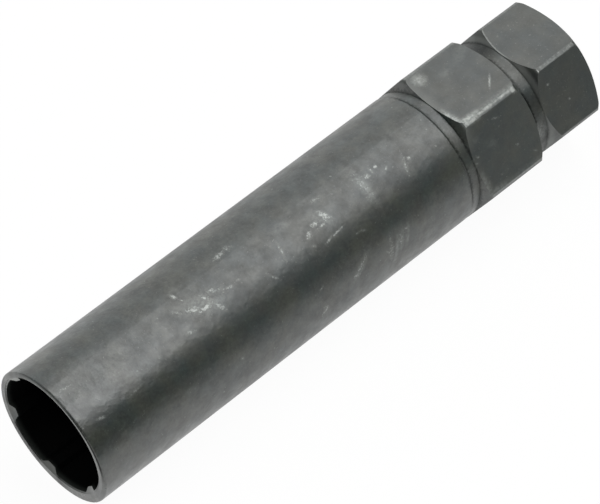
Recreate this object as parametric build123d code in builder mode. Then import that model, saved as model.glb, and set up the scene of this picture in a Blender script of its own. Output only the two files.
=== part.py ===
from build123d import *
from math import cos, radians, sin, sqrt, tan
import os

# Wheel lock key for spline-drive lug nuts, turned from one piece of hexagon steel bar.
# A long barrel with a splined socket in its mouth, a narrow turned band, a large wrench
# hexagon, a turned neck and a small wrench hexagon. Millimetres. The key lies along X:
# x = 0 is the mouth, the hexagons are towards +X, and two flats of each hexagon face up
# and down, which is how the key lies on a table.

# Lengths along the key, in order from the mouth
barrel_length = 67.55
band_length = 1.55
large_hex_length = 11.8
neck_length = 2.4
small_hex_length = 9.85

# Wrench hexagons: 13/16 in and 3/4 in across flats
large_hex_af = 20.64
small_hex_af = 19.05
large_hex_edge_radius = 0.9
small_hex_edge_radius = 0.55

# Splined socket: slots between six teeth, cut on from the drilled bore
slot_bottom_d = 18.0
tooth_tip_d = 16.7
tooth_count = 6
tooth_root_width = 2.95
tooth_tip_width = 1.3
tooth_root_radius = 0.25
tooth_tip_radius = 0.2
# Teeth stand a little round from the flats' middles
tooth_turn = 9.5
spline_depth = 30.0
drill_depth = 60.0
drill_point_angle = 118.0
# Cone that leads the nut in: how far outside the slots' bottom it starts, and its angle
# from the key's axis
lead_in = 0.24
lead_in_angle = 60.0

# The bore was drilled a little off the barrel's axis, so the rim is thin on one side
bore_runout = 0.35
bore_runout_direction = 50.0

# Turned outside
barrel_wall = 1.3
mouth_edge_radius = 0.2
barrel_end_bevel = 0.2
band_step = 0.08
neck_step = 0.07
end_face_d = 18.8

# Turned corners of the hexagons: angle of each cone from the flat end it starts on
large_hex_front_angle = 25.0
large_hex_back_angle = 32.0
small_hex_front_angle = 45.0
small_hex_end_angle = 28.0
# The hexagons' rounded edges are skimmed in the lathe. Where each cone meets them, the corner
# is rounded off by a share of the cone's own height.
corner_skim = 0.07
corner_end_share = 0.55


def rounded_corner_r(across_flats, edge_radius):
    """Distance from the axis to a hexagon's edge once the edge is rounded."""
    return across_flats / sqrt(3) - edge_radius * (2 / sqrt(3) - 1)


# Stations along the axis
band_start = barrel_length
large_hex_start = band_start + band_length
large_hex_end = large_hex_start + large_hex_length
small_hex_start = large_hex_end + neck_length
key_length = small_hex_start + small_hex_length

# Radii that follow from the sizes above
barrel_r = slot_bottom_d / 2 + barrel_wall
band_r = barrel_r - band_step
neck_r = small_hex_af / 2 - neck_step
mouth_r = slot_bottom_d / 2 + lead_in
tooth_tip_r = tooth_tip_d / 2
slot_bottom_r = slot_bottom_d / 2
large_shoulder_r = large_hex_af / 2 - neck_step
large_corner_r = rounded_corner_r(large_hex_af, large_hex_edge_radius) - corner_skim
small_corner_r = rounded_corner_r(small_hex_af, small_hex_edge_radius) - corner_skim
end_face_r = end_face_d / 2
point_depth = tooth_tip_r / tan(radians(drill_point_angle / 2))
lead_in_depth = mouth_r / tan(radians(lead_in_angle))
bore_y = bore_runout * cos(radians(bore_runout_direction))
bore_z = bore_runout * sin(radians(bore_runout_direction))


def across(x, y=0.0, z=0.0):
    """Plane square to the key at distance x from the mouth: its x runs along Y, its y along Z."""
    return Plane(origin=(x, y, z), x_dir=(0, 1, 0), z_dir=(1, 0, 0))


def along(y=0.0, z=0.0):
    """Plane through the key's length: its x runs along X, its y along Z."""
    return Plane(origin=(0, y, z), x_dir=(1, 0, 0), z_dir=(0, -1, 0))


def cone_run(radial, angle):
    """Length along the axis of a cone that climbs by radial, at angle from the end face."""
    return radial * tan(radians(angle))


with BuildPart() as wheel_lock_key:
    # Large hexagon, with the bar's slightly rounded edges
    with BuildSketch(across(large_hex_start)) as large_hex_section:
        RegularPolygon(radius=large_hex_af / 2, side_count=6, major_radius=False)
        fillet(large_hex_section.vertices(), large_hex_edge_radius)
    extrude(amount=large_hex_length)

    # Small hexagon, in line with the large one
    with BuildSketch(across(small_hex_start)) as small_hex_section:
        RegularPolygon(radius=small_hex_af / 2, side_count=6, major_radius=False)
        fillet(small_hex_section.vertices(), small_hex_edge_radius)
    extrude(amount=small_hex_length)

    # Both ends of each hexagon are turned to cones, which cut its six corners
    large_front_run = cone_run(large_corner_r - band_r, large_hex_front_angle)
    large_back_run = cone_run(large_corner_r - large_shoulder_r, large_hex_back_angle)
    small_front_run = cone_run(small_corner_r - neck_r, small_hex_front_angle)
    small_end_run = cone_run(small_corner_r - end_face_r, small_hex_end_angle)
    with BuildSketch(along()) as head_outline:
        with BuildLine():
            Polyline(
                (large_hex_start, 0),
                (large_hex_start, band_r),
                (large_hex_start + large_front_run, large_corner_r),
                (large_hex_end - large_back_run, large_corner_r),
                (large_hex_end, large_shoulder_r),
                (large_hex_end, neck_r),
                (small_hex_start, neck_r),
                (small_hex_start + small_front_run, small_corner_r),
                (key_length - small_end_run, small_corner_r),
                (key_length, end_face_r),
                (key_length, 0),
                close=True,
            )
        make_face()
        corner_ends = (
            (large_hex_start + large_front_run, large_corner_r, band_r),
            (large_hex_end - large_back_run, large_corner_r, large_shoulder_r),
            (small_hex_start + small_front_run, small_corner_r, neck_r),
            (key_length - small_end_run, small_corner_r, end_face_r),
        )
        for corner_x, corner_r, cone_foot_r in corner_ends:
            corner_end = head_outline.vertices().sort_by_distance((corner_x, corner_r))[0]
            fillet(corner_end, corner_end_share * (corner_r - cone_foot_r))
    revolve(axis=Axis.X, mode=Mode.INTERSECT)

    # Turned barrel, with a fine step down to the band beside the large hexagon
    with BuildSketch(along()):
        with BuildLine():
            Polyline(
                (0, 0),
                (0, barrel_r),
                (band_start - barrel_end_bevel, barrel_r),
                (band_start, band_r),
                (large_hex_start, band_r),
                (large_hex_start, 0),
                close=True,
            )
        make_face()
    revolve(axis=Axis.X)
    fillet(wheel_lock_key.edges().group_by(Axis.X)[0], mouth_edge_radius)

    # Neck between the two hexagons
    with BuildSketch(across(large_hex_end)):
        Circle(neck_r)
    extrude(amount=neck_length)

    # Splined socket: a round bore with slots between the teeth
    with BuildSketch(across(0, bore_y, bore_z)) as socket_section:
        Circle(slot_bottom_r)
        with PolarLocations(0, tooth_count, start_angle=90 + tooth_turn):
            Polygon(
                (tooth_tip_r, -tooth_tip_width / 2),
                (slot_bottom_r, -tooth_root_width / 2),
                (barrel_r, -tooth_root_width / 2),
                (barrel_r, tooth_root_width / 2),
                (slot_bottom_r, tooth_root_width / 2),
                (tooth_tip_r, tooth_tip_width / 2),
                align=None,
                mode=Mode.SUBTRACT,
            )
        Circle(tooth_tip_r)
        tooth_corners = socket_section.vertices().sort_by_distance((0, 0, 0))
        fillet(tooth_corners[: 2 * tooth_count], tooth_tip_radius)
        root_corners = socket_section.vertices().sort_by_distance((0, 0, 0))
        fillet(root_corners[-2 * tooth_count :], tooth_root_radius)
    extrude(amount=spline_depth, mode=Mode.SUBTRACT)

    # Drilled bore behind the splines, ending in the drill's point
    with BuildSketch(along(bore_y, bore_z)):
        with BuildLine():
            Polyline(
                (spline_depth, 0),
                (spline_depth, tooth_tip_r),
                (drill_depth, tooth_tip_r),
                (drill_depth + point_depth, 0),
                close=True,
            )
        make_face()
    revolve(axis=Axis((0, bore_y, bore_z), (1, 0, 0)), mode=Mode.SUBTRACT)

    # Lead-in cone at the mouth, which also slopes the front of every tooth
    with BuildSketch(along(bore_y, bore_z)):
        with BuildLine():
            Polyline((0, 0), (0, mouth_r), (lead_in_depth, 0), close=True)
        make_face()
    revolve(axis=Axis((0, bore_y, bore_z), (1, 0, 0)), mode=Mode.SUBTRACT)

wheel_lock_key.part.label = "wheel_lock_key"
os.makedirs("parts", exist_ok=True)
export_step(wheel_lock_key.part, "parts/wheel_lock_key.step")
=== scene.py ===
# %% [markdown]
# # A wheel lock key in black phosphated steel
# This lesson dresses one solid piece of steel: a long turned barrel with a splined socket in
# its mouth, and two wrench hexagons, one behind the other. Its shape comes ready from the CAD
# model, so the work here is the finish, the light and the camera. On the real key the finish
# is a black phosphate coating, rubbed pale wherever a wrench, a wheel or a drawer touched it.

# %% Load the CAD model
import bpy
from math import cos, degrees, hypot, radians, sin, tan
from mathutils import Matrix, Vector


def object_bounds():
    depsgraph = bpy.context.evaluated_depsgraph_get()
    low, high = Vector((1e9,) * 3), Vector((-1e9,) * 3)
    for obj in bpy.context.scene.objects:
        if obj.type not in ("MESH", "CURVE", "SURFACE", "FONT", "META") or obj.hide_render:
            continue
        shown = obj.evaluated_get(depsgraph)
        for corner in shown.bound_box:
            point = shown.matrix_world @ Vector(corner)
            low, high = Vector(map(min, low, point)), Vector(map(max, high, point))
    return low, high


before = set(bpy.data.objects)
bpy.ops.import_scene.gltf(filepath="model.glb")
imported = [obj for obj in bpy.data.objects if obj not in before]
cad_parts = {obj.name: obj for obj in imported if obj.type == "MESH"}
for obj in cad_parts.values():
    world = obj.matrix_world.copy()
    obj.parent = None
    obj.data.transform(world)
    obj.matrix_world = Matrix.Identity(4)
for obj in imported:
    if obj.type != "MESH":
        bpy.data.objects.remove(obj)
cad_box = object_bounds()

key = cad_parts["wheel_lock_key"]
box_mm = [tuple(round(c * 1000, 2) for c in corner) for corner in cad_box]
print("key:", len(key.data.polygons), "faces, box in mm", box_mm)

# %% [markdown]
# ## Sizes the finish needs
# A finish follows the shape: lathe marks run round the turned parts, drawn flats keep the
# grain of the bar, and edges wear first. So the shader has to know where the edges are. A few
# sizes of the key, in millimetres from its mouth and from its axis, are enough to work that out.

# %% Sizes in millimetres
MM = 0.001
BARREL_R, BARREL_END = 10.3, 67.55
BAND_R, NECK_R = 10.22, 9.455
LARGE_START, LARGE_END, LARGE_AF = 69.1, 80.9, 20.64
SMALL_START, SMALL_END, SMALL_AF = 83.3, 93.15, 19.05
NECK_MIDDLE = (LARGE_END + SMALL_START) / 2
# Angles of the cones on the mouth's side of the hexagons, from the flat end
LARGE_CONE, SMALL_CONE = radians(25.0), radians(45.0)
# The bore's own axis, and the radii of its mouth, of the teeth's middles and near the slots' bottoms
BORE_Y, BORE_Z = 0.225, 0.268
MOUTH_R, TEETH_R, SLOTS_R = 9.24, 8.7, 9.08
# Flats and teeth come six to a turn, and the first tooth stands this far round the bore
SIXTH, FIRST_TOOTH = radians(60.0), radians(39.5)
print("key is", SMALL_END, "mm long; hexagons", LARGE_AF, "and", SMALL_AF, "mm across flats")

# %% [markdown]
# ## Three helpers
# Colours are written as the hex codes that an image editor shows, which are sRGB. Cycles
# reckons in linear light, so one function turns one into the other. The second function adds
# a node, sets what it is told and links its inputs, which keeps the materials readable. The
# third makes a material that is empty, so that every node in it is one of this lesson's.

# %% Colour and node helpers
def linear(hex_colour):
    """sRGB hex such as "363f3d" to linear red, green, blue and alpha."""
    parts = [int(hex_colour[i : i + 2], 16) / 255 for i in (0, 2, 4)]
    return tuple(c / 12.92 if c <= 0.04045 else ((c + 0.055) / 1.055) ** 2.4 for c in parts) + (1.0,)


def add(tree, kind, inputs=None, out=0, **settings):
    """Adds a node and returns one of its outputs; inputs go by name, or by number where names repeat."""
    made = tree.nodes.new("ShaderNode" + kind)
    for name, value in settings.items():
        setattr(made, name, value)
    for socket, value in (inputs or {}).items():
        if isinstance(value, bpy.types.NodeSocket):
            tree.links.new(value, made.inputs[socket])
        else:
            made.inputs[socket].default_value = value
    return made.outputs[out] if made.outputs else None


def empty_material(name):
    """A new material with no nodes in it yet, and its node tree."""
    material = bpy.data.materials.new(name)
    material.use_nodes = True
    material.node_tree.nodes.clear()
    return material, material.node_tree


print("middle grey in linear light:", round(linear("808080")[0], 3))

# %% [markdown]
# ## Short names for the nodes used most
# A few kinds of node come up again and again: noise, a ramp from one range of numbers to
# another, a mix of two numbers or colours, and a bump, which turns the light on a surface as
# small heights would. Each gets a function of its own, so that a finish further down reads
# like a description of the steel and not like a list of sockets. Noise seldom strays far from
# 0.5, so a ramp over it starts and ends close to that.

# %% Noise, ramp, mix and bump
def noise(tree, place, scale, detail, roughness=0.5):
    """Cloudy noise around 0.5, with scale clouds to a millimetre where place is in millimetres."""
    inputs = {"Vector": place, "Scale": scale, "Detail": detail, "Roughness": roughness}
    return add(tree, "TexNoise", inputs)


def ramp(tree, value, start, end, low=0.0, high=1.0, smooth=False):
    """low where value is at start and high where it is at end, and no further than either."""
    inputs = {"Value": value, "From Min": start, "From Max": end, "To Min": low, "To Max": high}
    return add(tree, "MapRange", inputs, interpolation_type="SMOOTHSTEP" if smooth else "LINEAR")


def mix(tree, share, first, second, colours=False):
    """first where share is 0 and second where it is 1; a Mix node has colours in sockets 6 and 7."""
    if colours:
        return add(tree, "Mix", {"Factor": share, 6: first, 7: second}, out=2, data_type="RGBA")
    return add(tree, "Mix", {"Factor": share, 2: first, 3: second})


def bump(tree, height, depth, strength=1.0, over=None):
    """The surface's direction once a height of depth millimetres tilts it, over an earlier bump."""
    inputs = {"Height": height, "Strength": strength, "Distance": depth * MM}
    if over is not None:
        inputs["Normal"] = over
    return add(tree, "Bump", inputs, out="Normal")


print("a bump of 0.3 mm is", 0.3 * MM, "in Blender's metres")

# %% [markdown]
# ## Where on the key is this point?
# The coating, the lathe marks and the wear all ask the same question, so one function answers
# it from the point's place on the object: millimetres from the mouth, distance from the axis,
# how far round the nearest hexagon corner is, and how far from the bore's own axis, because
# the bore was drilled a little off centre. The shape has no unwrapped surface to paint on, and
# needs none: places that are worked out have no seam and don't blur from close up.

# %% Places on the key
def places(tree):
    """Sockets for a point's place on the key, in millimetres and radians."""
    point = add(tree, "TexCoord", out="Object")
    mm = add(tree, "VectorMath", {0: point, "Scale": 1 / MM}, operation="SCALE")
    x, y, z = (add(tree, "SeparateXYZ", {0: mm}, out=axis) for axis in "XYZ")
    across = add(tree, "CombineXYZ", {"Y": y, "Z": z})
    radius = add(tree, "VectorMath", {0: across}, out="Value", operation="LENGTH")
    around = add(tree, "Math", {0: z, 1: y}, operation="ARCTAN2")
    corner_angle = add(tree, "Math", {0: around, 1: SIXTH / 2, 2: -SIXTH / 2}, operation="WRAP")
    past_corner = add(tree, "Math", {0: corner_angle, 1: radius}, operation="MULTIPLY")
    from_bore = add(tree, "VectorMath", {0: across, 1: (0, BORE_Y, BORE_Z)}, operation="SUBTRACT")
    bore_radius = add(tree, "VectorMath", {0: from_bore}, out="Value", operation="LENGTH")
    bore_y, bore_z = (add(tree, "SeparateXYZ", {0: from_bore}, out=axis) for axis in "YZ")
    bore_around = add(tree, "Math", {0: bore_z, 1: bore_y}, operation="ARCTAN2")
    past_first = add(tree, "Math", {0: bore_around, 1: FIRST_TOOTH}, operation="SUBTRACT")
    past_tooth = add(tree, "Math", {0: past_first, 1: SIXTH / 2, 2: -SIXTH / 2}, operation="WRAP")
    return {
        "mm": mm, "x": x, "radius": radius, "around": around,
        "past_corner": past_corner, "bore_radius": bore_radius, "past_tooth": past_tooth,
    }


print("flats and teeth come round every", round(degrees(SIXTH)), "degrees")

# %% [markdown]
# ## Masks
# A mask is a number at each point: 1 where something shows in full, 0 where it doesn't. All of
# them are made the same way, as 1 near some place and fading away from it. Noise can push the
# limit about, because real wear and dirt have ragged limits. Masks are then multiplied, where
# one limits another, or the strongest of several is taken.

# %% Masks
def near(tree, value, place, width, core=0.0, ragged=None):
    """1 where value is within core of place, fading to 0 at width; ragged is a noise and its push."""
    past = add(tree, "Math", {0: value, 1: place}, operation="SUBTRACT")
    apart = add(tree, "Math", {0: past}, operation="ABSOLUTE")
    if ragged:
        texture, push = ragged
        apart = add(tree, "Math", {0: texture, 1: push, 2: apart}, operation="MULTIPLY_ADD")
        core, width = core + push / 2, width + push / 2
    return ramp(tree, apart, width, core, smooth=True)


def turned_to(tree, here, side, reach):
    """1 on the side that lies side degrees round the key, fading to 0 reach degrees away from it.
    It ends at half a turn, where a corner of each hexagon lies."""
    return near(tree, here["around"], radians(side), radians(reach), core=radians(reach / 2))


def strongest(tree, *masks):
    """The largest of several masks at each point."""
    top = masks[0]
    for mask in masks[1:]:
        top = add(tree, "Math", {0: top, 1: mask}, operation="MAXIMUM")
    return top


def product(tree, *factors):
    """Masks and numbers multiplied, so that each limits or weakens the rest."""
    result = factors[0]
    for factor in factors[1:]:
        result = add(tree, "Math", {0: result, 1: factor}, operation="MULTIPLY")
    return result


# The side of the key, in degrees round it, that looks up and toward the camera
UPPER_SIDE = 120
print("the upper side lies", UPPER_SIDE, "degrees round the key")

# %% [markdown]
# ## Scuffs and scratches
# Each scuff is a small oval on the surface where something rubbed the coating through. A row
# says where it lies (millimetres from the mouth, degrees round the key), how its length leans
# from the key's axis, its half length and half width, and how hard the rub was. A Mapping node
# of the Texture type moves, turns and shrinks space so that the oval becomes a unit ball, and
# the distance from its middle then fades the rub out. Scuffs could be painted on an image
# instead, but a list of ovals needs no image, stays sharp from close up and is quick to change.

# %% Scuff places
BARREL_SCUFFS = (
    (21.7, 90, 76, 0.50, 0.24, 0.90), (22.1, 96, 65, 0.43, 0.13, 0.60), (20.4, 102, 55, 0.50, 0.19, 0.60),
    (22.4, 108, 25, 0.88, 0.36, 0.85), (24.0, 112, -2, 0.96, 0.28, 0.95), (24.8, 106, 56, 0.81, 0.25, 0.75),
    (26.3, 105, 29, 0.98, 0.29, 0.70), (25.7, 118, 66, 0.73, 0.28, 0.75), (28.1, 110, 8, 0.79, 0.17, 0.60),
    (20.1, 120, 17, 0.57, 0.21, 0.65), (14.5, 121, 0, 0.18, 0.17, 0.60), (3.2, 130, 17, 0.50, 0.18, 0.90),
    (9.5, 129, -7, 1.04, 0.13, 0.60), (30.2, 86, 48, 0.31, 0.28, 0.75), (24.8, 161, 26, 0.29, 0.19, 0.60),
    (1.8, 97, 4, 1.01, 0.18, 0.50), (30.7, 85, -7, 0.90, 0.32, 0.80), (32.2, 84, 34, 0.63, 0.44, 0.65),
    (28.6, 111, 12, 0.27, 0.17, 0.70), (30.0, 110, 16, 0.27, 0.14, 0.60), (37.5, 112, -78, 1.22, 0.18, 0.55),
    (34.3, 124, 57, 0.79, 0.18, 0.65), (46.2, 96, -2, 0.70, 0.27, 0.60), (43.7, 111, 2, 0.42, 0.29, 0.95),
    (45.6, 110, 66, 0.95, 0.43, 0.85), (44.8, 115, -5, 0.85, 0.17, 0.75), (42.1, 115, -44, 0.49, 0.29, 0.85),
    (41.7, 124, 24, 0.28, 0.17, 0.65), (44.1, 127, -18, 0.67, 0.14, 0.95), (45.6, 126, -8, 1.08, 0.12, 1.00),
    (48.1, 136, 20, 0.23, 0.11, 0.75), (49.1, 137, 25, 0.43, 0.13, 0.80), (53.0, 110, -90, 2.19, 0.56, 0.55),
    (54.4, 106, 20, 0.35, 0.27, 0.90), (55.4, 104, 89, 0.40, 0.17, 0.65), (56.3, 104, 23, 0.20, 0.21, 0.95),
    (57.4, 110, -42, 0.27, 0.18, 0.65), (60.9, 114, 0, 0.22, 0.23, 0.95), (59.8, 118, -69, 1.44, 0.26, 0.55),
    (46.7, 160, -39, 1.57, 0.33, 0.65), (45.6, 165, 15, 0.43, 0.25, 0.85), (52.1, 166, -81, 1.58, 0.31, 0.50),
    (54.0, 163, -82, 1.00, 0.30, 0.55), (39.4, 175, -37, 0.65, 0.26, 0.70),
    (39.7, 154, -29, 0.38, 0.18, 0.60), (55.3, 158, 43, 0.38, 0.17, 0.75),
    (51.5, 166, 49, 0.34, 0.16, 0.65), (80.9, 166, -8, 1.19, 0.88, 0.60),
)
HEXAGON_SCUFFS = (
    (71.3, 68, -1, 0.90, 0.95, 0.42), (78.1, 105, -45, 1.06, 0.15, 1.00), (75.0, 129, 22, 0.52, 0.15, 0.60),
    (70.0, 146, 24, 0.21, 0.13, 0.80), (69.5, 150, 24, 0.21, 0.13, 0.80), (76.8, 158, 24, 0.21, 0.13, 0.70),
    (72.7, 170, 18, 0.20, 0.13, 0.65), (79.2, 171, 42, 0.31, 0.12, 0.75), (85.5, 134, 21, 0.24, 0.16, 0.80),
    (88.1, 157, 24, 0.22, 0.16, 0.60), (79.4, 121, 30, 0.45, 0.38, 1.25), (84.75, 121, 20, 0.25, 0.20, 1.10),
)
# Broad light rubs, which only polish the coat
BARREL_RUBS = (
    (24.2, 108, 20, 2.40, 1.30, 0.20), (45.0, 111, 60, 1.50, 0.80, 0.20), (53.0, 108, -90, 2.60, 0.60, 0.26),
    (46.7, 160, -39, 2.00, 0.45, 0.20), (53.1, 167, -72, 1.50, 0.32, 0.26),
    (54.1, 165, -72, 1.50, 0.26, 0.20), (55.2, 164, -72, 1.40, 0.28, 0.24),
    (52.6, 176, -72, 1.60, 0.35, 0.20), (81.6, 168, 10, 1.30, 1.20, 0.32),
    (39.5, 97, 0, 1.30, 0.50, 0.15), (8.0, 112, 10, 4.00, 1.80, 0.05), (58.0, 176, 0, 5.00, 0.60, 0.06),
)
HEXAGON_RUBS = (
    (71.3, 68, 0, 0.80, 0.80, 0.48), (70.6, 133, 20, 0.45, 0.35, 0.13), (72.9, 144, 30, 0.70, 0.45, 0.08),
    (75.0, 76, 0, 0.80, 0.50, 0.12), (79.1, 69, -30, 1.40, 0.60, 0.10),
)
# Half thickness of each ball in millimetres, which keeps it clear of the far side, and how far
# from its middle the rub is full and gone, where 1 is the oval's edge
BALL_DEPTH, RUB_FULL, RUB_GONE = 1.5, 0.3, 1.9
print(len(BARREL_SCUFFS), "scuffs on the turned parts,", len(HEXAGON_SCUFFS), "on the hexagons")


def on_surface(x, turn, flat_sided):
    """How far the surface is from the axis at a scuff, and the direction in which it faces."""
    if not flat_sided:
        return BARREL_R, turn
    facing = SIXTH / 2 + SIXTH * (turn // SIXTH)
    across_flats = LARGE_AF if x < SMALL_START else SMALL_AF
    return across_flats / 2 / cos(turn - facing), facing


def scuffs(tree, mm, rows, flat_sided):
    """The rub at each point: full in the middle of the hardest scuff, 0 away from all of them."""
    rubs = []
    for x, turn, lean, half_length, half_width, rub in rows:
        turn, lean = radians(turn), radians(lean)
        distance, facing = on_surface(x, turn, flat_sided)
        outward = Vector((0, cos(facing), sin(facing)))
        sideways = Vector((0, -sin(facing), cos(facing)))
        along = Vector((1, 0, 0)) * cos(lean) + sideways * sin(lean)
        inputs = {
            "Vector": mm,
            "Location": (x, distance * cos(turn), distance * sin(turn)),
            "Rotation": Matrix((along, outward.cross(along), outward)).transposed().to_euler(),
            "Scale": (half_length, half_width, BALL_DEPTH),
        }
        local = add(tree, "Mapping", inputs, vector_type="TEXTURE")
        middle = add(tree, "VectorMath", {0: local}, out="Value", operation="LENGTH")
        rubs.append(ramp(tree, middle, RUB_GONE, RUB_FULL, high=rub))
    return strongest(tree, *rubs)


# %% [markdown]
# ## Black phosphate on steel
# Zinc or manganese phosphate grows on the steel as a felt of dark crystals about a hundredth
# of a millimetre across, which is then oiled. It is a mineral, not a metal, so metallic stays
# at 0. To the eye it is a dark grey that turns pale in a broad soft highlight, and the index
# is set higher than a real mineral's to give the oiled felt that satin sheen. Crystals that
# small can't show in a picture of the whole key, so the grain is drawn forty times coarser
# than it is. Slow clouds turn the hue from teal to olive. Smaller patches, and the crystals
# themselves, make the coat look thin in one place and thick in the next.
# Shade painted into corners and recesses, and the real pits, take away the sheen as well as the colour.
# A metal's reflection takes the metal's own colour, so metallic rises there, over near black.

# %% The coat
CRYSTALS_PER_MM = 2.4
PATCHES_PER_MM = 0.5
CLOUDS_PER_MM = 0.2
TEAL_GREY = linear("363f3d")
OLIVE_GREY = linear("434740")
# Near black, for the pits and for shade painted into corners and recesses
PITS_AND_PAINTED_SHADE = linear("0c0d0c")
COATING_INDEX = 1.9
# How much of the mottling is crystals and not patches, and how far it goes either way
CRYSTAL_SHARE = 0.42
DARKER_BY, PALER_BY = 0.45, 0.5
# Roughness of the coat at the mouth and from 26 mm on, and how much patches change it
SATIN_AT_MOUTH, SATIN, PATCHY_BY = 0.32, 0.42, 0.06


def coat_colour(tree, here, mottle, pits_and_shade):
    """The coating's colour, paler and darker by mottle, and near black under pits and painted shade."""
    clouds = noise(tree, here["mm"], CLOUDS_PER_MM, 3.0, 0.6)
    hue = ramp(tree, clouds, 0.38, 0.62)
    tint = mix(tree, hue, TEAL_GREY, OLIVE_GREY, colours=True)
    grain = mix(tree, CRYSTAL_SHARE, here["patches"], here["crystals"])
    paler = ramp(tree, grain, 0.36, 0.64, low=1 - mottle * DARKER_BY, high=1 + mottle * PALER_BY)
    coat = add(tree, "VectorMath", {0: tint, "Scale": paler}, operation="SCALE")
    return mix(tree, pits_and_shade, coat, PITS_AND_PAINTED_SHADE, colours=True)


def coat_roughness(tree, here):
    """Satin, a little smoother toward the mouth and in some patches than in others."""
    smoother = ramp(tree, here["x"], 2.0, 26.0, low=SATIN_AT_MOUTH, high=SATIN)
    patchy = ramp(tree, here["patches"], 0.3, 0.7, low=PATCHY_BY, high=-PATCHY_BY)
    return add(tree, "Math", {0: smoother, 1: patchy}, operation="ADD")


print("teal grey of the coat in linear light:", [round(c, 3) for c in TEAL_GREY[:3]])

# %% [markdown]
# ## Wear
# Where the coating is rubbed through, bare bright steel shows: metallic 1 and pale, but about
# as rough as the coat, because a scuff is a patch of fine scratches. A lighter rub only
# polishes the coat, which a small share of the same bare steel gives. A scuff is the sum of
# its oval and a fine grit, cut off at a height, so that only crumbs of it come through near
# its edge. Stray specks lie here and there, as on any tool from a drawer.

# %% Bare steel where the coat is worn
GRIT_PER_MM = 3.5
SPECKS_PER_MM = 1.3
BARE_STEEL = linear("c6cac6")
BARE_ROUGHNESS = 0.38
# How strongly the grit breaks a scuff up, and between which heights the crumbs come through
GRIT_STRENGTH, CUT_FROM, CUT_TO = 2.4, 1.55, 2.2
# How bare the crumbs get, the haze around them as a share of the rub, and the stray specks
CRUMBS, HAZE, SPECKS = 0.64, 0.23, 0.55


def wear(tree, here, mottle, scuff_rows, rub_rows, flat_sided, edges):
    """How bare the steel is, from scuffs, light rubs, stray specks and worn edges."""
    rub = scuffs(tree, here["mm"], scuff_rows, flat_sided)
    grit = noise(tree, here["mm"], GRIT_PER_MM, 2.0, 0.7)
    broken = add(tree, "Math", {0: grit, 1: GRIT_STRENGTH, 2: rub}, operation="MULTIPLY_ADD")
    crumbs = ramp(tree, broken, CUT_FROM, CUT_TO, high=CRUMBS)
    polished = strongest(tree, scuffs(tree, here["mm"], rub_rows, flat_sided), product(tree, rub, HAZE))
    uneven = ramp(tree, here["crystals"], 0.35, 0.65, low=0.5, high=1.2)
    specks = noise(tree, here["mm"], SPECKS_PER_MM, 1.0)
    specks = ramp(tree, specks, 0.75, 0.87, high=SPECKS * mottle)
    return strongest(tree, crumbs, product(tree, polished, uneven), specks, edges)


print("bare steel in linear light:", [round(c, 3) for c in BARE_STEEL[:3]])

# %% [markdown]
# ## Small heights, and the whole finish
# Three small heights play with the light on the coat: soft waves of the patches, the marks of
# the tool or the drawing die, and the felt of crystals. The marks are noise squeezed across
# them and stretched along them. A fourth shows the wear at the rim of the mouth, whose
# rounded edge is in the CAD model. All are too fine to be worth modelling, so bumps show them.
# The finish then puts colour, wear, roughness and bump together, and serves the turned parts
# and the drawn flats alike.

# %% Coated steel
# Heights in millimetres, and the width of the rim's worn ring
WAVES, TOOL_MARKS, FELT = 0.1, 0.004, 0.01
RIM_WEAR, RIM_WEAR_WIDTH = 0.3, 0.6


def small_heights(tree, here, marks_along, mottle):
    """The surface's direction, tilted by waves, tool marks, crystals and the rim's worn edge."""
    stretched = add(tree, "VectorMath", {0: here["mm"], 1: marks_along}, operation="MULTIPLY")
    waves = bump(tree, here["patches"], WAVES * mottle)
    marks = bump(tree, noise(tree, stretched, 1.0, 2.0), TOOL_MARKS, strength=0.5, over=waves)
    felt = bump(tree, here["crystals"], FELT, strength=0.6, over=marks)
    edge = BARREL_R - 0.1
    inward = ramp(tree, here["radius"], edge, edge - RIM_WEAR_WIDTH)
    at_rim = near(tree, here["x"], 0.0, width=2.0, core=1.0)
    return bump(tree, product(tree, inward, at_rim), RIM_WEAR, over=felt)


def coated_steel(name, marks_along, mottle, scuff_rows, rub_rows, edges_of, pits_and_shade_of, flat_sided=False):
    """Phosphated steel: mottle is how uneven the coat is; edges_of and pits_and_shade_of give masks, the
    second for pits and painted shade.
    """
    material, tree = empty_material(name)
    here = places(tree)
    here["patches"] = noise(tree, here["mm"], PATCHES_PER_MM, 3.0, 0.55)
    here["crystals"] = noise(tree, here["mm"], CRYSTALS_PER_MM, 2.0, 0.6)
    pits_and_shade = pits_and_shade_of(tree, here)
    bare = wear(tree, here, mottle, scuff_rows, rub_rows, flat_sided, edges_of(tree, here))
    coat = coat_colour(tree, here, mottle, pits_and_shade)
    inputs = {
        "Base Color": mix(tree, bare, coat, BARE_STEEL, colours=True),
        # Metallic also rises under the pits and the painted shade, so that the sheen goes dark there too
        "Metallic": strongest(tree, bare, pits_and_shade),
        "Roughness": mix(tree, bare, coat_roughness(tree, here), BARE_ROUGHNESS),
        "IOR": COATING_INDEX,
        "Normal": small_heights(tree, here, marks_along, mottle),
    }
    add(tree, "OutputMaterial", {"Surface": add(tree, "BsdfPrincipled", inputs)})
    print(name, "has", len(tree.nodes), "nodes")
    return material


# %% [markdown]
# ## Turned parts: barrel, band, neck, cones and mouth
# Turning leaves rings round the axis, so the tool marks are squeezed along the key and long
# round it. The rim of the mouth is rubbed by every nut it is pushed over, and so are the
# fronts of the teeth. The lip shows bare steel most on its upper side.

# %% Bare steel on the turned parts
# Teeth that are rubbed bare: degrees round the key, reach in degrees, and share
WORN_TEETH = ((42, 45, 0.55), (-140, 45, 0.08), (-80, 30, 0.07))


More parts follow.
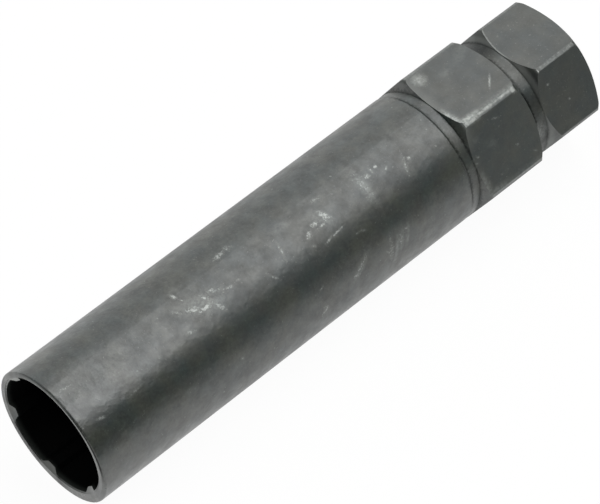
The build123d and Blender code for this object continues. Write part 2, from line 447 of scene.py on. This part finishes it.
def turned_edges(tree, here):
    """Bare steel on the lip of the mouth, on the fronts of some teeth and at the small cone's foot."""
    crystals = here["crystals"]
    lip = near(tree, here["bore_radius"], MOUTH_R + 0.12, width=0.24, core=0.05, ragged=(crystals, 0.3))
    at_mouth = near(tree, here["x"], 0.0, width=0.3, core=0.08)
    lip_share = ramp(tree, turned_to(tree, here, UPPER_SIDE, 80), 0.0, 1.0, low=0.05, high=0.3)
    teeth = near(tree, here["bore_radius"], TEETH_R, width=0.5, core=0.2, ragged=(crystals, 0.3))
    worn = strongest(tree, *(
        product(tree, turned_to(tree, here, side, reach), share) for side, reach, share in WORN_TEETH
    ))
    fronts = near(tree, here["x"], 0.0, width=1.2, core=0.8)
    cone_foot = near(tree, here["x"], SMALL_START + 0.4, width=0.5, core=0.1, ragged=(crystals, 0.3))
    return strongest(
        tree,
        product(tree, lip, at_mouth, lip_share),
        product(tree, teeth, worn, fronts),
        product(tree, cone_foot, 0.2),
    )


print(len(WORN_TEETH), "sides on which the teeth are worn")

# %% [markdown]
# ## Painted shade on the turned parts
# Shade is painted into the coat's colour at the step by the band, at the feet of the cones,
# beside the neck, and about the mouth. Each is a mask again, placed along the key or
# out from its axis, and turned to the side where it shows.

# %% Painted shade on the turned parts
# Painted shade in the corners: millimetres from the mouth, half width, and share
PAINTED_CORNER_SHADE = (
    (BARREL_END, 0.42, 0.5), (LARGE_START, 0.25, 0.35),
    (LARGE_END + 0.6, 0.45, 0.7), (SMALL_START, 0.24, 0.5),
)


def mouth_painted_shade(tree, here):
    """Painted shade about the mouth: a line inside the rim's edge, a patch on the rim, and the slots."""
    crystals, x = here["crystals"], here["x"]
    # Painted shade: a dark line just inside the rim's rounded outer edge
    line = near(tree, here["radius"], BARREL_R - 0.4, width=0.32, core=0.12, ragged=(crystals, 0.3))
    flat_face = near(tree, x, 0.0, width=0.15, core=0.05)
    tooth = near(tree, here["past_tooth"], 0.0, width=radians(12), core=radians(8))
    not_tooth = ramp(tree, tooth, 0.0, 1.0, low=1.0, high=0.15)
    # Painted shade on the rim, on the side turned away from the upper side, kept off the teeth
    at_mouth = near(tree, x, 0.0, width=0.45, core=0.2)
    patchy = ramp(tree, here["patches"], 0.3, 0.7, low=0.88, high=1.0)
    # Painted shade in the slots between the teeth, near the mouth
    slots = near(tree, here["bore_radius"], SLOTS_R, width=0.2, core=0.12)
    slot_ends = near(tree, x, 0.0, width=0.6, core=0.3)
    return strongest(
        tree,
        product(tree, line, flat_face, turned_to(tree, here, 142, 42), 0.85),
        product(tree, turned_to(tree, here, -55, 60), at_mouth, not_tooth, patchy),
        product(tree, slots, slot_ends, 0.6, not_tooth),
    )


def turned_painted_shade(tree, here):
    """Painted shade about the mouth, in the corners, on the neck and on the small hexagon's cone."""
    patches, crystals, x = here["patches"], here["crystals"], here["x"]
    # Painted shade in the corners listed above
    corners = [
        product(tree, near(tree, x, station, width, ragged=(crystals, 0.6)), share)
        for station, width, share in PAINTED_CORNER_SHADE
    ]
    # Painted shade on the neck between the hexagons, weakest on the upper side
    neck = near(tree, x, NECK_MIDDLE, width=1.6, core=1.1, ragged=(patches, 0.4))
    neck_share = ramp(tree, turned_to(tree, here, UPPER_SIDE, 50), 0.0, 1.0, low=0.68, high=0.15)
    # Painted shade on the small hexagon's cone, on the upper side
    cone = near(tree, x, SMALL_START + 0.9, width=1.3, core=0.8, ragged=(patches, 0.4))
    return strongest(
        tree,
        *corners,
        product(tree, neck, neck_share),
        product(tree, cone, turned_to(tree, here, 125, 40), 0.42),
        mouth_painted_shade(tree, here),
    )


RINGS, TURNED_MOTTLE = (9.0, 0.35, 0.35), 0.85
turned_steel = coated_steel(
    "turned_phosphated_steel", RINGS, TURNED_MOTTLE,
    BARREL_SCUFFS, BARREL_RUBS, turned_edges, turned_painted_shade,
)

# %% [markdown]
# ## Drawn flats of the two hexagons
# The flats are the skin of the drawn bar, so their faint lines run along the key. Wrenches
# bear on the corners and polish them to bare steel, hardest on the large hexagon, and the
# edges where the turned cones meet the flats wear to a thin pale line. Distances from a corner
# are in millimetres. At the upper corner those below 0 lie on the top flat, which is worn most.

# %% Bare steel on the drawn flats
def from_cone(tree, here, station, foot_r, angle):
    """Distance along a flat from the cone that starts at station and climbs from foot_r."""
    slope = tan(angle)
    climb = add(tree, "Math", {0: here["radius"], 1: slope, 2: -foot_r * slope}, operation="MULTIPLY_ADD")
    along = add(tree, "Math", {0: here["x"], 1: station}, operation="SUBTRACT")
    return add(tree, "Math", {0: along, 1: climb}, operation="SUBTRACT")


def corner_wear(tree, here):
    """Bare steel along the corners: a ridge in a broad strip on the large hexagon, a strip on the small."""
    patches, past = here["patches"], here["past_corner"]
    ridge = near(tree, past, -0.12, width=0.42, ragged=(patches, 0.6))
    strip = near(tree, past, -0.25, width=0.95, core=0.1, ragged=(patches, 0.5))
    large = strongest(tree, product(tree, ridge, 0.66), product(tree, strip, 0.26))
    small = product(tree, near(tree, past, 0.0, width=0.42, core=0.1, ragged=(patches, 0.3)), 0.33)
    is_large = add(tree, "Math", {0: here["x"], 1: NECK_MIDDLE}, operation="LESS_THAN")
    return mix(tree, is_large, small, large)


def cone_wear(tree, here, large, small):
    """Bare steel where the cones on the mouth's side cut the flats: a soft edge and two thin lines."""
    patches, crystals = here["patches"], here["crystals"]
    upper = turned_to(tree, here, 95, 50)
    soft = near(tree, large, 0.0, width=1.7, core=0.1, ragged=(patches, 0.8))
    thin = near(tree, large, 0.0, width=0.25, core=0.05, ragged=(crystals, 0.25))
    thin_small = near(tree, small, 0.0, width=0.3, core=0.05, ragged=(crystals, 0.35))
    return strongest(
        tree,
        product(tree, soft, upper, 0.13),
        product(tree, thin, upper, 0.2),
        product(tree, thin_small, turned_to(tree, here, 72, 30), 0.4),
    )


def wedge_wear_and_highlight(tree, here, large):
    """Bare steel where the large cone meets a corner and a flat: a worn tip, and a painted highlight in a
    brow along the flat.
    """
    patches, past = here["patches"], here["past_corner"]
    tip = product(
        tree,
        near(tree, large, 0.0, width=5.0, core=1.6, ragged=(patches, 1.5)),
        near(tree, past, -0.25, width=1.1, core=0.25, ragged=(patches, 0.5)),
    )
    # A painted highlight: pale bare steel along the large cone's edge on the top flat
    painted_highlight_brow = product(
        tree,
        near(tree, large, 0.0, width=1.2, core=0.2, ragged=(patches, 0.6)),
        near(tree, past, -1.6, width=3.2, core=0.8, ragged=(patches, 0.8)),
    )
    return strongest(tree, tip, painted_highlight_brow)


def drawn_edges(tree, here):
    """Bare steel on the hexagons' corners and on the edges of their cones, most on the upper side, with a
    painted highlight along the large cone's edge.
    """
    worn = ramp(tree, here["crystals"], 0.35, 0.65, low=0.48, high=1.2)
    often_used = ramp(tree, turned_to(tree, here, UPPER_SIDE, 40), 0.0, 1.0, low=0.5, high=1.0)
    large = from_cone(tree, here, LARGE_START, BAND_R, LARGE_CONE)
    small = from_cone(tree, here, SMALL_START, NECK_R, SMALL_CONE)
    corners = product(tree, corner_wear(tree, here), worn, often_used)
    wedges = product(tree, wedge_wear_and_highlight(tree, here, large), worn, often_used, 0.62)
    return strongest(tree, corners, wedges, cone_wear(tree, here, large, small))


flats_from = (LARGE_AF / 2 - BAND_R) * tan(LARGE_CONE)
print("the large hexagon's flats start", round(flats_from, 3), "mm from its front")

# %% [markdown]
# ## Drawn steel
# The flats are less mottled than the turned parts, because the bar's skin takes the coating
# There is no painted shade in the corners here, only fine pits and a faint painted shade on the small
# hexagon's near side.

# %% Drawn phosphated steel
def drawn_pits_and_shade(tree, here):
    """Fine pits that are near black, and a faint painted shade on the near side of the small hexagon."""
    pits = ramp(tree, here["crystals"], 0.28, 0.18, high=0.4)
    is_small = add(tree, "Math", {0: here["x"], 1: SMALL_START}, operation="GREATER_THAN")
    # A faint painted shade on the small hexagon's near side
    return strongest(tree, pits, product(tree, turned_to(tree, here, 165, 60), is_small, 0.08))


DRAWN_LINES, DRAWN_MOTTLE = (0.25, 6.0, 6.0), 0.35
drawn_steel = coated_steel(
    "drawn_phosphated_steel", DRAWN_LINES, DRAWN_MOTTLE,
    HEXAGON_SCUFFS, HEXAGON_RUBS, drawn_edges, drawn_pits_and_shade, flat_sided=True,
)

# %% [markdown]
# ## The bore
# Inside, the coating sees hardly any light, and a real bore looks black because light that gets
# in hardly comes out again. Here that shade is painted into the colour: it fades from a dark
# grey at the mouth to near black over the first millimetre, and a weak sheen keeps it dark.

# %% Bore with painted shade
BORE_GREY_AT_MOUTH, PAINTED_BORE_SHADE = linear("3a3e3b"), linear("050606")
# Millimetres from the mouth over which the painted shade deepens
SHADE_STARTS, SHADE_FULL = 0.05, 1.1
WEAK_SHEEN = 0.08
bore_steel, tree = empty_material("bore_painted_shade")
here = places(tree)
crystals = noise(tree, here["mm"], CRYSTALS_PER_MM, 2.0)
deep = ramp(tree, here["x"], SHADE_STARTS, SHADE_FULL, smooth=True)
shaded_bore = {
    "Base Color": mix(tree, deep, BORE_GREY_AT_MOUTH, PAINTED_BORE_SHADE, colours=True),
    "Roughness": ramp(tree, crystals, 0.0, 1.0, low=0.5, high=0.7),
    "Specular IOR Level": WEAK_SHEEN,
    "Normal": bump(tree, crystals, FELT, strength=0.6),
}
add(tree, "OutputMaterial", {"Surface": add(tree, "BsdfPrincipled", shaded_bore)})
print(bore_steel.name, "has", len(tree.nodes), "nodes")

# %% [markdown]
# ## Which face gets which finish
# The CAD mesh is one solid, so each face is given a material by its place: faces inside the
# bore, faces on the hexagons that look straight out from the axis, and all the rest, which
# were turned. The sloped fronts of the teeth count as turned, because the lead-in was.

# %% Sort the faces
TURNED, DRAWN, BORE = 0, 1, 2
# Millimetres from the mouth within which the teeth's sloped fronts lie
FRONTS_END = 1.0
# How far along the key a face's direction leans before the face counts as sloped
LEANING = 0.3


def finish_of(face):
    """Which finish a face has, from where its middle is and the direction it looks in."""
    x, y, z = (c / MM for c in face.center)
    y, z = y - BORE_Y, z - BORE_Z
    inward = face.normal.y * y + face.normal.z * z < 0
    in_bore = x < LARGE_START and hypot(y, z) < MOUTH_R and (inward or x > FRONTS_END)
    tooth_front = x < FRONTS_END and face.normal.x < -LEANING
    on_hexagon = LARGE_START < x < LARGE_END or SMALL_START < x < SMALL_END
    if in_bore and not tooth_front:
        return BORE
    if on_hexagon and abs(face.normal.x) < LEANING:
        return DRAWN
    return TURNED


key.data.materials.clear()
for finish in (turned_steel, drawn_steel, bore_steel):
    key.data.materials.append(finish)
counts = [0, 0, 0]
for face in key.data.polygons:
    face.material_index = finish_of(face)
    counts[face.material_index] += 1
print("faces turned, drawn and in the bore:", counts)

# %% [markdown]
# ## Floor
# A sheet of white paper. The camera sees it as white, but a small share of what it sees is the
# lit paper itself, so the key keeps a faint soft shadow. In the key's own sheen the paper is
# white as well, up to a few centimetres in front of the key, and falls off toward the near
# side. That edge draws the dark band that runs along the barrel below its bright one. In a
# studio a dark card beside the paper would draw it.

# %% Floor
TABLE_TOP = -LARGE_AF / 2 * MM
HALF_SHEET = 3.0
LIT_PAPER = linear("ebebe9")
WHITE_SHARE = 0.93
# A little above 1, to make up for the share of the paper that is lit and not white
WHITE_STRENGTH = 1.03
# Metres across the table at which the key's sheen sees the paper at its darkest and whitest
DARK_FROM, WHITE_FROM = -0.085, -0.025
floor_mesh = bpy.data.meshes.new("floor")
sheet = [(x * HALF_SHEET, y * HALF_SHEET, TABLE_TOP) for x, y in ((-1, -1), (1, -1), (1, 1), (-1, 1))]
floor_mesh.from_pydata(sheet, [], [(0, 1, 2, 3)])
floor = bpy.data.objects.new("floor", floor_mesh)
bpy.context.scene.collection.objects.link(floor)
paper, tree = empty_material("white_paper")
matte = add(tree, "BsdfDiffuse", {"Color": LIT_PAPER})
white = add(tree, "Emission", {"Color": linear("ffffff"), "Strength": WHITE_STRENGTH})
for_camera = product(tree, add(tree, "LightPath", out="Is Camera Ray"), WHITE_SHARE)
across_table = add(tree, "SeparateXYZ", {0: add(tree, "TexCoord", out="Object")}, out="Y")
lit = ramp(tree, across_table, DARK_FROM, WHITE_FROM, smooth=True)
for_sheen = product(tree, add(tree, "LightPath", out="Is Glossy Ray"), lit)
seen = add(tree, "MixShader", {0: strongest(tree, for_camera, for_sheen), 1: matte, 2: white})
add(tree, "OutputMaterial", {"Surface": seen})
floor_mesh.materials.append(paper)
print("the sheet is", 2 * HALF_SHEET, "m wide and lies at", round(TABLE_TOP / MM, 2), "mm")

# %% [markdown]
# ## Light
# Soft boxes in a ring, as round a product table. Each is placed by its height above the table
# and its direction, both in degrees, and aimed at the middle of the key. The strongest stand
# high on the right and behind, and light the barrel's broad pale band and the upper flats. The
# two low ones behind graze the top of the barrel. Those in front and on the left fill in the
# face of the mouth, which all the others leave dark. Round boxes leave no hard edge in the
# sheen. Separate lamps were chosen, and not one lit sky, because each can be set by itself.

# %% Soft boxes
KEY_MIDDLE = Vector((0.047, 0.0, 0.0))
BOX_DISTANCE, BOX_ACROSS = 0.75, 0.42
# Name, height and direction in degrees, and watts
SOFT_BOXES = (
    ("right", 60, 300, 1.06), ("right_back", 60, 330, 0.43), ("back_right", 60, 0, 0.90),
    ("back", 60, 45, 0.94), ("lower_back", 35, 60, 0.36), ("low_back", 10, 50, 0.50),
    ("low_back_left", 10, 80, 0.35), ("front_left", 60, 180, 0.80), ("front", 60, 225, 0.50),
    ("left", 35, 120, 0.40),
)
for name, height, direction, watts in SOFT_BOXES:
    height, direction = radians(height), radians(direction)
    toward = Vector((cos(direction) * cos(height), sin(direction) * cos(height), sin(height)))
    box = bpy.data.lights.new(name, "AREA")
    box.shape, box.size, box.energy = "DISK", BOX_ACROSS, watts
    lamp = bpy.data.objects.new(name, box)
    lamp.location = KEY_MIDDLE + toward * BOX_DISTANCE
    lamp.rotation_euler = (-toward).to_track_quat("-Z", "Y").to_euler()
    bpy.context.scene.collection.objects.link(lamp)
world = bpy.data.worlds.new("dark_studio")
world.use_nodes = True
world.node_tree.nodes["Background"].inputs["Strength"].default_value = 0.0
bpy.context.scene.world = world
print(len(SOFT_BOXES), "soft boxes,", round(sum(row[3] for row in SOFT_BOXES), 2), "watts in all")

# %% [markdown]
# ## Camera
# The camera looks down at the key from its mouth's side, along a line found from where the
# mouth, the hexagons' corners and the outline stand in the picture. The lens is long, so the
# far end of the key looks only about a tenth smaller than the mouth.

# %% Camera
camera_data = bpy.data.cameras.new("camera")
camera_data.lens = 193.84
camera_data.sensor_width = 36.0
camera_data.clip_start = 0.01
camera_data.clip_end = 10.0
camera = bpy.data.objects.new("camera", camera_data)
right = Vector((0.720457, -0.693396, -0.012003)).normalized()
forward = Vector((0.428438, 0.458635, -0.778521)).normalized()
up = right.cross(forward).normalized()
right = forward.cross(up)
camera.matrix_world = Matrix((right, up, -forward)).transposed().to_4x4()
camera.location = (-0.143195, -0.200923, 0.340837)
bpy.context.scene.collection.objects.link(camera)
bpy.context.scene.camera = camera
bpy.context.scene.view_settings.view_transform = "Standard"
print("the camera stands", round(camera.location.length, 3), "m from the mouth")
